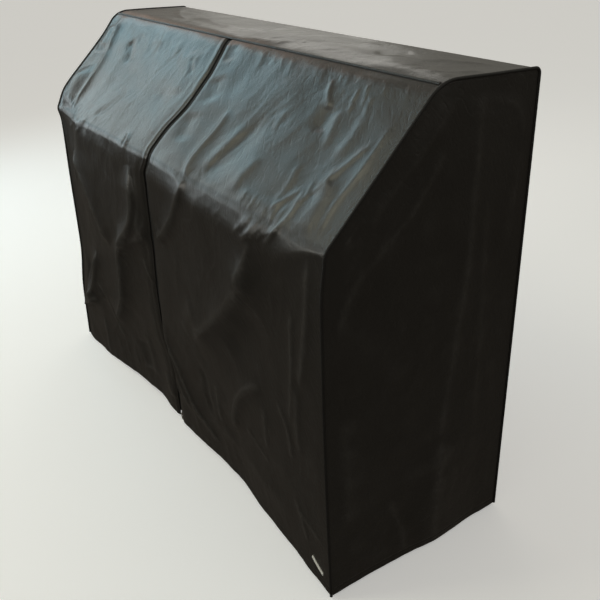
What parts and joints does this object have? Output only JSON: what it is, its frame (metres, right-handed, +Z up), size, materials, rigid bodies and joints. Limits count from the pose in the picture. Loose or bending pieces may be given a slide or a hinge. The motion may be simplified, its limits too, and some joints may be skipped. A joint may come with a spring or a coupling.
{
  "type": "piano cover",
  "caption": "Fitted dust cover for an upright piano, hollow and open at the foot, with a sloping front over the keyboard, corded seams and a front zip.",
  "frame": {"origin": "on the piano's lid, under the middle of the top panel, 2.5 mm below the cloth's underside", "axes": "+X along the piano, to the right as seen from the front; +Y from the front to the back; +Z up"},
  "size_m": [1.5465, 0.5502, 1.1148],
  "materials": {
    "coated_cloth": "black coated nylon with a satin face, crisp pressed creases",
    "piping": "black coated cloth wrapped round a cord",
    "zip_tape": "matt black woven tape",
    "zip_teeth": "black moulded coil",
    "zip_metal": "bright nickel plate",
    "woven_label": "white woven tape"
  },
  "bodies": {
    "root": {"top_panel": "coated_cloth", "front_panel_left": "coated_cloth", "front_panel_right": "coated_cloth", "side_panel_left": "coated_cloth", "side_panel_right": "coated_cloth", "back_panel": "coated_cloth", "piping_top_front": "piping", "piping_side_left": "piping", "piping_side_right": "piping", "zip_tape_left": "zip_tape", "zip_tape_right": "zip_tape", "zip_teeth": "zip_teeth", "zip_slider": "zip_metal", "zip_pull": "zip_metal", "side_label": "woven_label"}
  },
  "joints": []
}
